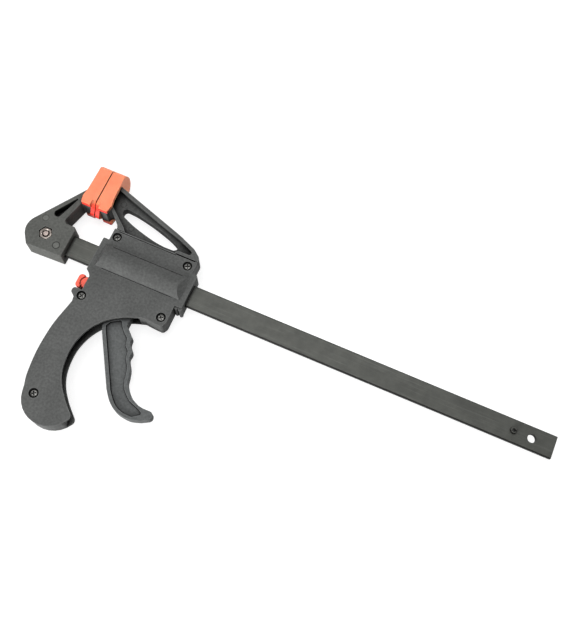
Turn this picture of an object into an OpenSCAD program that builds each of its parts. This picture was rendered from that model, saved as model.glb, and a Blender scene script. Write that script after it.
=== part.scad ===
// Quick release bar clamp, lying on its back: X along the bar, +Z out of the front face.
// Lengths in millimetres. Drawn about the closed jaws' contact plane (x = 0), the bar's
// centre line (y = 0) and the bar's mid-plane (z = 0), then set down at the base's centre.

/* [Bar] */
// Width of the flat steel bar
bar_w = 20; // [18:0.5:22]
// Thickness of the flat steel bar
bar_t = 5; // [4:0.25:6]
// Length of the bar
bar_len = 476; // [400:1:760]
// Radius of the bar's long edges
bar_edge_r = 1.2; // [0.5:0.1:1.8]
// Diameter of the hanging hole near the tail
tail_hole_d = 7.4; // [5:0.1:9]
// Distance of the hanging hole from the tail
tail_hole_in = 19.4; // [12:0.1:25]
// Diameter of the stop pin
stop_pin_d = 5; // [4:0.1:6]
// Distance of the stop pin from the tail
stop_pin_in = 35.5; // [30:0.5:45]
// Height of the stop pin above the bar's face
stop_pin_out = 2.5; // [1.5:0.1:3.5]

/* [Fixed jaw] */
// Thickness of both jaws
jaw_t = 19.5; // [18:0.1:21]
// Distance from the contact plane to the jaw bolt
jaw_bolt_x = 28.1; // [26:0.1:30]
// Thread diameter of the jaw bolt
jaw_bolt_d = 6; // [5:0.5:6]
// Width across flats of the nut and the bolt head
nut_af = 10; // [9:0.1:10.5]
// Height of the nut and the bolt head
nut_h = 4; // [3:0.1:4.5]
// Radius of the jaw's round heel
jaw_heel_r = 15.1; // [14:0.1:16]
// Depth of the lightening pocket in each face
jaw_pocket_d = 8.2; // [6:0.1:8.6]

/* [Pads] */
// Thickness of the pads across the jaws
pad_t = 28; // [26:0.5:30]
// Thickness of the pad in front of the jaw
pad_face = 4.2; // [3:0.1:5]
// Height of the middle of the pads' dome above the bar's centre
pad_top = 79.8; // [78:0.1:82]
// Radius of the pads' domed end
pad_dome_r = 20.6; // [19:0.1:24]
// Gap between the closed pads
pad_gap = 0.2; // [0.1:0.05:0.5]

/* [Housing] */
// Thickness of the housing and the handle
body_t = 19; // [18.5:0.1:20]
// Wall of the housing
wall = 2.5; // [2:0.1:2.7]
// Radius of the barrel around the springs
barrel_r = 14.3; // [14.1:0.05:15]
// Clearance of the bar in the housing's guides
bar_gap = 0.25; // [0.15:0.05:0.4]
// Height of the seam between cover and jaw arm
seam_y = 28.1; // [27.5:0.1:28.5]
// Gap between the cover's edge and the jaw arm
seam_gap = 0.4; // [0.2:0.05:0.6]
// Half thickness of the moving jaw's web
web_half = 4.5; // [3.5:0.1:5.5]

/* [Screws] */
// Diameter of the cover screws' heads
screw_head_d = 6; // [5:0.1:6.5]
// Thread diameter of the cover screws
screw_d = 3; // [2.5:0.1:3.2]
// Diameter of the counterbores
counterbore_d = 8.4; // [7.5:0.1:9]
// Depth of the screw heads below the cover's face
screw_sunk = 0.9; // [0.5:0.1:1.2]
// Outer diameter of the screw bosses
boss_d = 9.6; // [9.2:0.1:9.8]

/* [Trigger] */
// Thickness of the trigger
trigger_t = 10.4; // [9:0.1:10.6]
// Diameter of the trigger's pivot pin
pivot_d = 5; // [4:0.1:6]
// Depth of the panels in the trigger's faces
trigger_panel = 1.8; // [1:0.1:2.5]
// Radial clearance on the pivot pin
pivot_gap = 0.05; // [0.02:0.01:0.09]

/* [Mechanism] */
// Thickness of one drive plate and of the brake plate
plate_t = 3; // [2.5:0.1:3.2]
// Width of the plates
plate_w = 13; // [11:0.5:13.5]
// Tilt of the brake plate when it grips
brake_tilt = 6; // [5:0.5:7]
// Clearance of the plates around the bar, on each side
plate_gap = 0.4; // [0.35:0.05:0.6]
// Wire diameter of the springs
wire_d = 1.3; // [1:0.1:1.4]
// Gap between the springs and the bar's corners
spring_gap = 0.4; // [0.3:0.1:0.5]

/* [Button] */
// Height of the release button
button_h = 13.5; // [12:0.1:13.6]
// Width of the release button
button_w = 13; // [11:0.5:13.5]

/* [Hidden] */
$fn = 48;
EPS = 0.01;

// ---- places that follow from the sizes ----
HJ = jaw_t / 2;
HB = body_t / 2;
HP = pad_t / 2;
HC = HB - wall;               // half depth of the cavity
HT = trigger_t / 2;
HW = plate_w / 2;
BAR_LEFT = -jaw_bolt_x - 9.5;
TAIL_X = BAR_LEFT + bar_len;
HOLE_X = TAIL_X - tail_hole_in;
STOP_X = TAIL_X - stop_pin_in;
SPRING_R = bar_w / 2 + spring_gap + wire_d / 2;   // coil's mean radius
SPRING_OUT = SPRING_R + wire_d / 2;
BORE_R = SPRING_OUT + 0.3;                        // barrel's inner radius
BARREL_Y = 1;                 // the barrel sits a little above the bar's centre line
PIVOT = [67, -30];            // trigger's pivot
NOSE_R = 3;                   // trigger's rounded nose
NOSE = [1, 14];               // the nose's centre from the pivot
PLATE_X = PIVOT[0] + NOSE[0] + NOSE_R + 0.05;     // drive plates' pushed face
COIL_X = PLATE_X + 2 * plate_t + 0.4;             // washer behind the plates
END_X = 99.5;                 // inner face of the tail end wall
WALL_X = 46.5;                // inner wall that the brake spring bears on
WALL_T = 2.5;
BRAKE = [30.5, 12.85];        // centre of the brake plate's round top edge, where it tips
HEEL = [-46.9 + jaw_heel_r, -14.6 + jaw_heel_r];  // centre of the jaw's heel
SCREWS = [[30.2, 21.5], [97.4, 21.6], [26.7, -38.7], [96.8, -29.4], [30.4, -129.5]];
// base of the part: middle of its length and width, and its lowest point
LOW_X = HEEL[0] - jaw_heel_r;
GRIP_C = [44.9, -126.9];      // centre and radius of the handle's round end
GRIP_R = 24.2;
LOW_Y = GRIP_C[1] - GRIP_R;
LOW_Z = max(HP, barrel_r);
SHIFT = [-(LOW_X + TAIL_X) / 2, -(LOW_Y + pad_top) / 2, LOW_Z];

// ---- outline helpers ----
function unit(v) = v / norm(v);
// points of the arc of radius r that rounds corner b between a and c
function corner_arc(a, b, c, r, n) =
    let (u = unit(a - b), v = unit(c - b), h = acos(max(-1, min(1, u * v))) / 2)
    let (s = b + u * r / tan(h), e = b + v * r / tan(h))
    let (m = b + unit(u + v) * r / sin(h))
    [for (k = [0:n]) m + r * unit((s - m) * (n - k) / n + (e - m) * k / n)];
function xy(p) = [p[0], p[1]];
function radius_of(p) = len(p) > 2 ? p[2] : 0;
// closed outline: each point is [x, y] or [x, y, radius]
function rounded(P, n = 6) = [
    for (i = [0:len(P) - 1])
        let (a = P[(i + len(P) - 1) % len(P)], c = P[(i + 1) % len(P)])
        each (radius_of(P[i]) > 0
            ? corner_arc(xy(a), xy(P[i]), xy(c), P[i][2], n)
            : [xy(P[i])])
];
// smooth curve through points
function smooth(p, n = 4) = [
    for (i = [0:len(p) - 2], k = [0:n - 1])
        let (a = p[max(i - 1, 0)], b = p[i], c = p[i + 1], d = p[min(i + 2, len(p) - 1)])
        let (t = k / n)
        0.5 * (2 * b + (c - a) * t + (2 * a - 5 * b + 4 * c - d) * t * t
            + (3 * b - a - 3 * c + d) * t * t * t),
    p[len(p) - 1]
];
function right_of(a, b) = let (u = unit(b - a)) [u[1], -u[0]];
// clockwise outline moved inwards by d; corner radii follow
function inset(P, d) = [
    for (i = [0:len(P) - 1])
        let (a = xy(P[(i + len(P) - 1) % len(P)]), b = xy(P[i]), c = xy(P[(i + 1) % len(P)]))
        let (m = right_of(a, b), n = right_of(b, c), turn = m * (c - b))
        let (q = b + d * (m + n) / (1 + m * n), r = radius_of(P[i]))
        [q[0], q[1], r == 0 ? 0 : max(r + (turn > 0 ? -d : d), 0)]
];
// open curve moved sideways by d
function beside(p, d) = [
    for (i = [0:len(p) - 1])
        p[i] + d * right_of(p[max(i - 1, 0)], p[min(i + 1, len(p) - 1)])
];
function reversed(p) = [for (i = [len(p) - 1:-1:0]) p[i]];
// outline around two circles
function teardrop(a, ra, b, rb, n = 8) =
    let (u = b - a, w = atan2(u[1], u[0]), t = acos((ra - rb) / norm(u)))
    concat(
        [for (k = [0:n]) let (g = w + t + (360 - 2 * t) * k / n) a + ra * [cos(g), sin(g)]],
        [for (k = [0:n]) let (g = w - t + 2 * t * k / n) b + rb * [cos(g), sin(g)]]
    );

// ---- solid helpers ----
module set_down() {
    translate(SHIFT) children();
}
// prism of an outline from z0 to z1
module slab(P, z0, z1) {
    translate([0, 0, z0]) linear_extrude(z1 - z0) polygon(P);
}
// box between two corners
module span(a, b) {
    translate(a) cube(b - a);
}
// round rod along Z from z0 to z1
module rod(p, r, z0, z1) {
    translate([p[0], p[1], z0]) cylinder(r = r, h = z1 - z0);
}
// round rod along X
module rod_x(x0, x1, r, y = 0) {
    translate([x0, y, 0]) rotate([0, 90, 0]) cylinder(r = r, h = x1 - x0);
}
module hexagon(p, af, z0, z1) {
    translate([p[0], p[1], z0]) cylinder(r = af / sqrt(3), h = z1 - z0, $fn = 6);
}
// section of the bar grown by g, standing in the YZ plane
function bar_section(g) =
    let (y = bar_w / 2 + g, z = bar_t / 2 + g, r = max(bar_edge_r + g, 0.1))
    rounded([[-z, -y, r], [-z, y, r], [z, y, r], [z, -y, r]], 4);
// prism along X of a section given as [-z, y]
module along_x(P, x0, x1) {
    translate([x0, 0, 0]) rotate([0, 90, 0]) linear_extrude(x1 - x0) polygon(P);
}

// ---- outlines, clockwise ----
HANDLE_IN = smooth([[84.2, -35.9], [70.7, -40.7], [55.5, -50.5], [45.7, -63.5], [40.6, -80],
    [41.2, -97.7], [45.9, -111], [54.6, -122.6], [65, -132.6]]);
HANDLE_END = concat([[68.7, -136.4, 4.2]],
    [for (k = [0:12]) let (g = -30 - 11.5 * k) GRIP_C + GRIP_R * [cos(g), sin(g)]]);
HANDLE_BACK = smooth([[19.9, -126], [17.5, -117.2], [15.6, -100], [15.6, -84], [17, -68.8],
    [19.9, -55], [21.8, -46.5]]);
BODY = concat(
    [[24.8, seam_y], [103.9, seam_y], [103.9, 17.2], [109.2, 17.2, 1.5], [109.2, -15.5, 1],
     [102.8, -15.5], [102.8, -32.5, 4], [100.5, -36.9, 3], [92, -36.6]],
    HANDLE_IN, HANDLE_END, HANDLE_BACK,
    [[21, -42, 1.5], [16.6, -38.6, 2.5], [17.2, -34, 2.5], [24.8, -34], [24.8, -20.3],
     [22.4, -17.2, 1], [19.6, -15.4, 1], [19.6, 16.8, 1.2], [24.8, 16.8]]
);
ARM = [[25.3, seam_y - 1.2], [26.4, 29.2, 1], [25.1, 31.7, 2], [20.1, 36.8, 6], [13.6, 43.4, 0.6],
    [11.4, 41, 1.2], [10.3, 38.4, 0.6], [pad_face, 38.4], [pad_face, 66.4, 1], [12.3, 66.4, 1],
    [80, 44.7, 90], [96.5, 37.9, 12], [103.9, 32.2, 5], [103.9, seam_y - 1.2]];
ARM_RECESS = [[9.2, 49.6, 1], [9.2, 63.8, 1.5], [80, 41.6, 60], [95.6, 34.8, 2], [96.2, 31.2, 2],
    [84.5, 31.2, 4], [79, seam_y - 1.5], [35.6, seam_y - 1.5], [31.2, 31.8, 4]];
WINDOW = concat(
    smooth([[25.2, 50.8], [36, 49.8], [53.2, 46.2], [70.6, 41], [79, 37.2]]),
    [[83.6, 34.4, 2.4], [78.6, 31.3, 2]],
    smooth([[70, 31.2], [61.1, 32.2], [48.4, 35], [36, 38.6], [26.7, 42.3]]),
    [[22.2, 44.4, 3], [22.6, 51.2, 3]]
);
JAW = concat(
    [[-6, -14.2, 0.8], [-39.2, -15.4, 0.8]],
    [for (k = [0:8]) HEEL + jaw_heel_r * [cos(-141 - k * 74 / 8), sin(-141 - k * 74 / 8)]],
    [[-14.9, 51.3], [-12.4, 55.4, 1], [-12.2, 66.5, 1], [-pad_face, 66.5, 1],
     [-pad_face, 38.4], [-12.6, 38.4, 1.5], [-18.7, 17.5, 3],
     [-16, 15.1, 2], [-7.5, 15.1, 1], [-6, 12, 1.5]]
);
TRIGGER_FRONT = smooth([[73, -46.4], [78.4, -51.4], [81.6, -54.6], [82.6, -59.8], [87.2, -65.6],
    [87.4, -71.6], [91.8, -78.6], [94, -85], [95.6, -91], [99.7, -96.5], [105.4, -101.2],
    [112.4, -104.4]]);
TRIGGER_BACK = smooth([[119, -115.2], [112.5, -117.4], [107.8, -117.9], [101.2, -117.2],
    [96, -115.6], [91.1, -112.5], [87, -108.7], [82, -102.4]]);
TRIGGER = concat(TRIGGER_FRONT, [[117, -105], [125, -104.8, 3.2], [127.8, -110.2, 3.8]],
    TRIGGER_BACK, [[56.4, -60.4], [53.2, -53.4, 2.5], [56.2, -48.4, 2], [60.9, -38], [61, -30],
    [63.4, -17, 0.5], [66, -13.6, 1], [69, -16], [73, -30], [73, -38]]);
TRIGGER_PANEL = concat(
    [[66.6, -43.8, 1]],
    smooth([[68.8, -47.7], [73.4, -52.8], [77.6, -56.4], [79.6, -62.4], [83.4, -66.6],
        [84.8, -72.6], [89, -78.8], [91, -85], [92.6, -91.6], [96.6, -98], [103.6, -103.8]]),
    [[112, -106.6, 1], [118.6, -109.6, 1.6]],
    smooth([[111, -114.9], [103.4, -114.8], [96.6, -112.6], [91.4, -108.6], [86, -102.4]]),
    [[61, -58.4], [57.8, -52.4, 1.5], [58.8, -48.6, 1.5]]
);
// way of the handle's slot, from the arch to the handle's tip
SLOT = concat([(HANDLE_IN[1] + HANDLE_IN[2]) / 2],
    [for (i = [2:len(HANDLE_IN) - 1]) HANDLE_IN[i]], [[67.3, -135.2]]);
// the slot's end, which turns round the handle's tip
SLOT_END = [[65.2, -132.8], [74, -132.8], [74, -145], [64.6, -145], [63.4, -140.4], [62.2, -137.4]];
// pad seen from the side: the flaps behind the face, then the face and its dome, as [-z, y]
PAD_FLAP = [[pad_face - EPS, 37.6], [pad_face - EPS, 90], [12, 90], [12, 70], [12.6, 51, 3],
    [13.7, 44.5, 1.5], [12.4, 37.6, 1.2]];
DOME_C = pad_top - pad_dome_r;
DOME_A = asin(HP / pad_dome_r);
DOME = [for (k = [-8:8]) let (g = DOME_A * k / 8) [-pad_dome_r * sin(g), DOME_C + pad_dome_r * cos(g)]];
CHIN = smooth([[HP, 43.4], [12.7, 40.9], [9, 38.8], [5, 36.4], [2.5, 34.5], [0, 34]], 3);
CHIN_BACK = [for (i = [len(CHIN) - 2:-1:0]) [-CHIN[i][0], CHIN[i][1]]];

// ---- bar group ----
module bar() {
    color([0.35, 0.35, 0.34]) set_down() difference() {
        along_x(bar_section(0), BAR_LEFT, TAIL_X);
        rod([HOLE_X, 0], tail_hole_d / 2, -bar_t, bar_t);
        rod([STOP_X, 0], stop_pin_d / 2 + 0.02, -bar_t, bar_t);
        rod([-jaw_bolt_x, 0], jaw_bolt_d / 2 + 0.1, -bar_t, bar_t);
    }
}
// slotted spring pin
module stop_pin() {
    h = bar_t / 2 + stop_pin_out;
    color([0.25, 0.25, 0.25]) set_down() difference() {
        rod([STOP_X, 0], stop_pin_d / 2, -h, h);
        rod([STOP_X, 0], stop_pin_d / 2 - 1, -h - 1, h + 1);
        span([STOP_X, -0.4, -h - 1], [STOP_X + stop_pin_d, 0.4, h + 1]);
    }
}
module fixed_jaw() {
    bolt = [-jaw_bolt_x, 0];
    head_z = HJ - nut_h - 1.4;
    color([0.36, 0.36, 0.35]) set_down() difference() {
        slab(rounded(JAW), -HJ, HJ);
        along_x(bar_section(0.05), BAR_LEFT - 0.1, 0);
        for (s = [-1, 1])
            translate([0, 0, s > 0 ? HJ - jaw_pocket_d : -HJ - 1])
                linear_extrude(jaw_pocket_d + 1) polygon(teardrop([-27.2, 21], 3.2, [-17.8, 39.8], 0.6));
        rod(bolt, jaw_bolt_d / 2 + 0.1, -HJ - 1, HJ + 1);
        hexagon(bolt, nut_af + 1.2, HJ - nut_h - 0.4, HJ + 1);
        rod(bolt, jaw_bolt_d + 0.7, -HJ - 1, -head_z);
    }
}
module jaw_bolt() {
    bolt = [-jaw_bolt_x, 0];
    head_z = HJ - nut_h - 0.4;
    color([0.5, 0.48, 0.47]) set_down() union() {
        rod(bolt, jaw_bolt_d / 2, -head_z, HJ - 0.2);
        hexagon(bolt, nut_af, -head_z - nut_h, -head_z);
    }
}
module jaw_washer() {
    bolt = [-jaw_bolt_x, 0];
    low = -(HJ - nut_h - 0.4);
    color([0.6, 0.6, 0.6]) set_down() difference() {
        rod(bolt, jaw_bolt_d, low, low + 1);
        rod(bolt, jaw_bolt_d / 2 + 0.2, low - 1, low + 2);
    }
}
module jaw_nut() {
    bolt = [-jaw_bolt_x, 0];
    color([0.32, 0.3, 0.28]) set_down() difference() {
        hexagon(bolt, nut_af, HJ - nut_h - 0.4, HJ - 0.4);
        rod(bolt, jaw_bolt_d / 2 + 0.05, 0, HJ + 1);
    }
}
module pad() {
    difference() {
        union() {
            along_x(concat(CHIN, CHIN_BACK, reversed(DOME)), pad_gap / 2, pad_face);
            intersection() {
                slab(rounded(PAD_FLAP), -HP, HP);
                along_x(concat([[HP, 30], [-HP, 30]], reversed(DOME)), 0, 20);
            }
        }
        span([pad_face, 20, -HJ], [30, 66.8, HJ]);
    }
}
module fixed_jaw_pad() {
    color([0.98, 0.6, 0.45]) set_down() mirror([1, 0, 0]) pad();
}
module moving_jaw_pad() {
    color([0.98, 0.6, 0.45]) set_down() pad();
}

// ---- housing ----
// bulged barrel around the springs, with sloping ends
module barrel() {
    intersection() {
        rod_x(20, 110, barrel_r, BARREL_Y);
        translate([0, 30, 0]) rotate([90, 0, 0]) linear_extrude(60)
            polygon([[24.6 - 3, HB - 4.2], [28, barrel_r], [98.9, barrel_r], [104.6 + 3.8, HB - 3.2]]);
    }
}
// what stands inside each half
module inner_walls() {
    // guide at the jaw end, with the round socket that the brake plate tips in
    span([20, -13.5, 0], [26, 16.4, HC + 1]);
    difference() {
        span([24, BRAKE[1], 0], [BRAKE[0] + plate_t, 17, HC + 1]);
        rod(BRAKE, plate_t / 2 + 0.05, -1, HC);
    }
    // wall that the brake spring bears on
    span([WALL_X, -20, 0], [WALL_X + WALL_T, seam_y - 1, HC + 1]);
    intersection() {
        rod_x(WALL_X, WALL_X + WALL_T, BORE_R + 0.3);
        span([WALL_X - 1, -20, 0], [WALL_X + WALL_T + 1, 20, 20]);
    }
    // rib that the drive plates rest on
    span([PLATE_X - 3.6, bar_w / 2 + 2, 0], [PLATE_X - 0.05, seam_y - 1, HC + 1]);
    // tail end guide
    span([END_X, -14.5, 0], [107.6, 16.4, HC + 1]);
    for (s = SCREWS) rod(s, boss_d / 2, 0, HC + 1);
    rod(PIVOT, pivot_d / 2 + 3.5, HT + 0.15, HC + 1);
}
// one half of the housing, without its screw holes, above z = 0
module housing_half() {
    difference() {
        union() {
            difference() {
                union() {
                    slab(rounded(BODY), 0, HB);
                    barrel();
                    for (x = [104.4, 108.1]) rod([x, -16.2], 1.7, 0, HB - 0.8);
                }
                slab(rounded(inset(BODY, wall)), -1, HC);
                rod_x(BRAKE[0] - plate_t / 2, END_X, BORE_R);
                slab(concat(beside(SLOT, -3), reversed(beside(SLOT, wall + 1))), -1, HC);
                slab(SLOT_END, -1, HC);
                span([24.2, -33.9, -1], [34, -14, HC]);
                span([10, -33.9, -1], [34, -20.4, HC]);
            }
            inner_walls();
        }
        along_x(bar_section(bar_gap), 10, 120);
        rod(PIVOT, pivot_d / 2 + pivot_gap, -1, HC + 1.4);
    }
}
module front_cover() {
    color([0.38, 0.38, 0.37]) set_down() difference() {
        housing_half();
        for (s = SCREWS) {
            rod(s, screw_d / 2 + 0.3, -1, HB + 1);
            rod(s, counterbore_d / 2, HB - screw_sunk - 1.8, HB + 1);
        }
    }
}
module rear_housing() {
    color([0.36, 0.36, 0.36]) set_down() difference() {
        union() {
            mirror([0, 0, 1]) housing_half();
            difference() {
                slab(rounded(ARM), -HJ, HJ);
                slab(rounded(WINDOW), -20, 20);
                slab(rounded(ARM_RECESS), web_half, HJ + 1);
                slab(rounded(ARM_RECESS), -HJ - 1, -web_half);
                span([0, 0, 0], [120, seam_y + seam_gap, 20]);
            }
        }
        for (s = SCREWS) rod(s, screw_d / 2 + 0.05, -HC - 0.6, 1);
    }
}
module cover_screws() {
    top = HB - screw_sunk;
    color([0.2, 0.2, 0.2]) set_down() for (i = [0:len(SCREWS) - 1]) difference() {
        union() {
            rod(SCREWS[i], screw_head_d / 2, top - 1.8, top);
            rod(SCREWS[i], screw_d / 2, -HC - 0.4, top - 1);
        }
        translate([SCREWS[i][0], SCREWS[i][1], top - 1.1]) rotate([0, 0, 20 + 25 * i]) {
            translate([-1.9, -0.45, 0]) cube([3.8, 0.9, 2]);
            translate([-0.45, -1.9, 0]) cube([0.9, 3.8, 2]);
        }
    }
}

// ---- trigger ----
module trigger_pin() {
    color([0.7, 0.7, 0.7]) set_down() rod(PIVOT, pivot_d / 2, -HC - 1.2, HC + 1.2);
}
module trigger() {
    color([0.36, 0.37, 0.37]) set_down() difference() {
        union() {
            slab(rounded(TRIGGER), -HT, HT);
            rod(PIVOT, 6, -HT, HT);
            rod(PIVOT + NOSE, NOSE_R, -HT, HT);
        }
        slab(rounded(TRIGGER_PANEL), HT - trigger_panel, HT + 1);
        slab(rounded(TRIGGER_PANEL), -HT - 1, -HT + trigger_panel);
        rod(PIVOT, pivot_d / 2 + pivot_gap, -HT - 1, HT + 1);
    }
}

// ---- mechanism ----
module drive_plate(x) {
    difference() {
        along_x(rounded([[-HW, -22, 1], [-HW, 13.5, 1], [HW, 13.5, 1], [HW, -22, 1]], 4), x, x + plate_t);
        along_x(bar_section(plate_gap), x - 1, x + plate_t + 1);
    }
}
module drive_plate_front() {
    color([0.6, 0.6, 0.6]) set_down() drive_plate(PLATE_X);
}
module drive_plate_rear() {
    color([0.6, 0.6, 0.6]) set_down() drive_plate(PLATE_X + plate_t);
}
module spring_washer() {
    color([0.75, 0.75, 0.75]) set_down() difference() {
        rod_x(PLATE_X + 2 * plate_t, PLATE_X + 2 * plate_t + 1, SPRING_OUT - 0.1);
        rod_x(PLATE_X, PLATE_X + 2 * plate_t + 2, bar_w / 2 + spring_gap);
    }
}
// coil of round wire around the bar
module coil(x0, x1, turns) {
    steps = 16;
    sides = 6;
    w = wire_d / 2;
    n = turns * steps;
    ring = [for (i = [0:n], k = [0:sides - 1])
        let (a = 360 * i / steps, g = 360 * k / sides, r = SPRING_R + w * cos(g))
        [x0 + w + (x1 - x0 - 2 * w) * i / n + w * sin(g), r * cos(a), r * sin(a)]];
    quads = [for (i = [0:n - 1], k = [0:sides - 1])
        let (j = (k + 1) % sides)
        [i * sides + k, i * sides + j, (i + 1) * sides + j, (i + 1) * sides + k]];
    caps = [[for (k = [sides - 1:-1:0]) k], [for (k = [0:sides - 1]) n * sides + k]];
    polyhedron(ring, concat(quads, caps));
}
module drive_spring() {
    color([0.7, 0.7, 0.7]) set_down() coil(PLATE_X + 2 * plate_t + 1.05, END_X - 0.05, 7);
}
module brake_spring() {
    top_y = BRAKE[1] - SPRING_OUT;
    plate_x = BRAKE[0] + plate_t / 2 / cos(brake_tilt) - top_y * tan(brake_tilt);
    color([0.7, 0.7, 0.7]) set_down() coil(plate_x + 0.1, WALL_X - 0.05, 5);
}
// the brake plate's own frame: its front face at x = 0, its round top edge about y = 0
module tipped() {
    set_down() translate([BRAKE[0], BRAKE[1], 0]) rotate([0, 0, -brake_tilt])
        translate([-plate_t / 2, 0, 0]) children();
}
TONGUE_W = 4.5;
BUTTON_LOW = -47.1;
module brake_plate() {
    slot_y = -BRAKE[1] / cos(brake_tilt);
    color([0.6, 0.6, 0.6]) tipped() difference() {
        union() {
            span([0, -34.5, -HW], [plate_t, 0, HW]);
            rod([plate_t / 2, 0], plate_t / 2, -HW, HW);
            span([0, -44.5, -TONGUE_W], [plate_t, -34, TONGUE_W]);
        }
        translate([0, slot_y, 0]) along_x(bar_section(plate_gap), -1, plate_t + 1);
    }
}
module release_button() {
    b = button_w / 2;
    y0 = BUTTON_LOW;
    y1 = BUTTON_LOW + button_h;
    color([0.95, 0.5, 0.4]) tipped() difference() {
        union() {
            slab(rounded([[-9.3, y0, 1.5], [-9.3, y1, 1.5], [-6, y1], [-6, y0]]), -b, b);
            span([-6.1, y0 + 1.4, -b + 1], [-5, y1 - 1.4, b - 1]);
            span([-5.1, y0 + 1.2, -b], [4.5, y1 - 1.4, b]);
        }
        span([-0.02, -44.5, -TONGUE_W - 0.02], [plate_t + 0.02, -30, TONGUE_W + 0.02]);
    }
}

bar();
stop_pin();
fixed_jaw();
jaw_bolt();
jaw_nut();
jaw_washer();
fixed_jaw_pad();
rear_housing();
front_cover();
cover_screws();
moving_jaw_pad();
trigger_pin();
trigger();
drive_plate_front();
drive_plate_rear();
spring_washer();
drive_spring();
brake_plate();
release_button();
brake_spring();
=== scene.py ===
# %% [markdown]
# # A quick release bar clamp
# This lesson dresses the clamp. Its plastic halves, jaws and trigger are mouldings, so
# their outer edges are soft and their skin has the fine texture of a spark-eroded mould.
# The bar is flat steel with a black oxide skin. The two jaw caps are soft orange rubber.
# The clamp lies on its back. The scene is in metres. Its pieces are measured in
# millimetres, as on a drawing, and the helpers below turn them to metres. A name that ends
# in _M or _M2 is in metres or square metres already.

# %% Load the frame
import bpy
import bmesh
import math
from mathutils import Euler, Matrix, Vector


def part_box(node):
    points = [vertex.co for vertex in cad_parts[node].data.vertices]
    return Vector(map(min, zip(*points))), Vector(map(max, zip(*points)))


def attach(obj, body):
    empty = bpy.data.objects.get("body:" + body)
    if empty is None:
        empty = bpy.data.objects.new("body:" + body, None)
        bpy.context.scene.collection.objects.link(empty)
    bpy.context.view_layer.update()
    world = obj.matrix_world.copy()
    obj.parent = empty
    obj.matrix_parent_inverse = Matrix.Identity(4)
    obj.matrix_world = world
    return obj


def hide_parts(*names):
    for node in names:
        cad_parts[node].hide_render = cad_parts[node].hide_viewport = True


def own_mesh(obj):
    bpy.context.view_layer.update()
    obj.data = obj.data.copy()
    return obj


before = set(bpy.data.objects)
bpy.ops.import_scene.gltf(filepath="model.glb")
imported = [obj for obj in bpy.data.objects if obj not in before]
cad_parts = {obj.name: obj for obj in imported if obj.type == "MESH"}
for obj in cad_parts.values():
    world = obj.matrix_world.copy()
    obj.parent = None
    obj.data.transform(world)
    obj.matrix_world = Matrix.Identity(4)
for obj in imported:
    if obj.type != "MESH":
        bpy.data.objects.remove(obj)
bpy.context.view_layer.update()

# %% [markdown]
# The parts were drawn about the closed jaws: x = 0 is where the pads meet, y = 0 is the
# bar's centre line and z = 0 its mid-plane. This helper turns such a place, in
# millimetres, into the scene's metres, so that places can be read as on the drawing.

# %% Drawing places
ORIGIN = Vector((-0.19575, 0.03565, 0.0143))
PAD_MIDDLE_Y = 57


def at(x, y, z=0.0):
    return ORIGIN + Vector((x, y, z)) / 1000


def drawn(p):
    return (Vector(p) - ORIGIN) * 1000


print("pads meet at", [round(c, 4) for c in at(0, PAD_MIDDLE_Y)])

# %% [markdown]
# Colours are written as hex, as a paint chart gives them, and turned to the linear values
# that a shader needs. One small function adds a node of any kind, sets it and links it, so
# that each material below reads as a short list of steps. Its settings name the node's
# inputs or give their numbers, and a socket given as a setting is linked. The stops of a
# colour ramp are places from 0 to 1 with a hex colour or a grey.

# %% Colour and node helpers
def colour(code):
    part = [int(code[i:i + 2], 16) / 255 for i in (0, 2, 4)]
    return tuple(c / 12.92 if c <= 0.04045 else ((c + 0.055) / 1.055) ** 2.4 for c in part) + (1,)


def set_stops(band, stops):
    while len(band.elements) < len(stops):
        band.elements.new(0.5)
    for element, (place, code) in zip(band.elements, stops):
        element.position = place
        element.color = colour(code) if isinstance(code, str) else (code, code, code, 1)


def add(tree, kind, settings=None, **links):
    node = tree.nodes.new(kind)
    for name, value in (settings or {}).items():
        if name == "stops":
            set_stops(node.color_ramp, value)
        elif isinstance(value, bpy.types.NodeSocket):
            tree.links.new(value, node.inputs[name])
        elif isinstance(name, int) or (name in node.inputs and not hasattr(node, name)):
            node.inputs[name].default_value = value
        else:
            setattr(node, name, value)
    for name, source in links.items():
        tree.links.new(source, node.inputs[name.replace("_", " ")])
    return node


def new_material(name):
    mat = bpy.data.materials.new(name)
    mat.use_nodes = True
    tree = mat.node_tree
    tree.nodes.clear()
    out = add(tree, "ShaderNodeOutputMaterial")
    shader = add(tree, "ShaderNodeBsdfPrincipled")
    tree.links.new(shader.outputs["BSDF"], out.inputs["Surface"])
    coords = add(tree, "ShaderNodeTexCoord").outputs["Object"]
    return mat, tree, shader, coords


print("light grey in linear light:", [round(c, 3) for c in colour("C0C0C0")[:3]])

# %% [markdown]
# Corners, joints and narrow gaps on every piece of the clamp lie in shade. This shade could be
# painted by hand, but an Ambient Occlusion node finds such places by itself: they see little
# open sky. What it finds darkens the colour as painted shade, so one helper serves all the
# finishes.

# %% Painted shade in corners
SHADE_STOP, OPEN_STOP = 0.45, 0.9


def corner_shaded(tree, skin, reach_mm=10.0, darkest=0.08):
    # Painted shade: the less open sky a point sees, the darker its colour is made.
    corner = add(tree, "ShaderNodeAmbientOcclusion", {"samples": 8, "Distance": reach_mm / 1000})
    painted_shade = add(tree, "ShaderNodeValToRGB", {"stops": [(SHADE_STOP, darkest), (OPEN_STOP, 1.0)]},
               Fac=corner.outputs["AO"])
    mixed = add(tree, "ShaderNodeMix", {"data_type": "RGBA", "blend_type": "MULTIPLY", 0: 1.0,
                                        6: skin, 7: painted_shade.outputs["Color"]})
    return mixed.outputs[2]


print("corners that see under", SHADE_STOP, "of the sky get the full dirt")

# %% [markdown]
# A mould pushes its piece out with round pins, and each pin leaves a shallow round mark. It
# is too shallow to model. The distance from the pin's centre, seen from above, gives a disc
# and a ring, which are a little paler or darker than the skin. A darker ring is painted shade,
# where the mark's sunken rim would be in shadow.

# %% Ejector marks
MARK_SPAN_MM = 10.0


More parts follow.
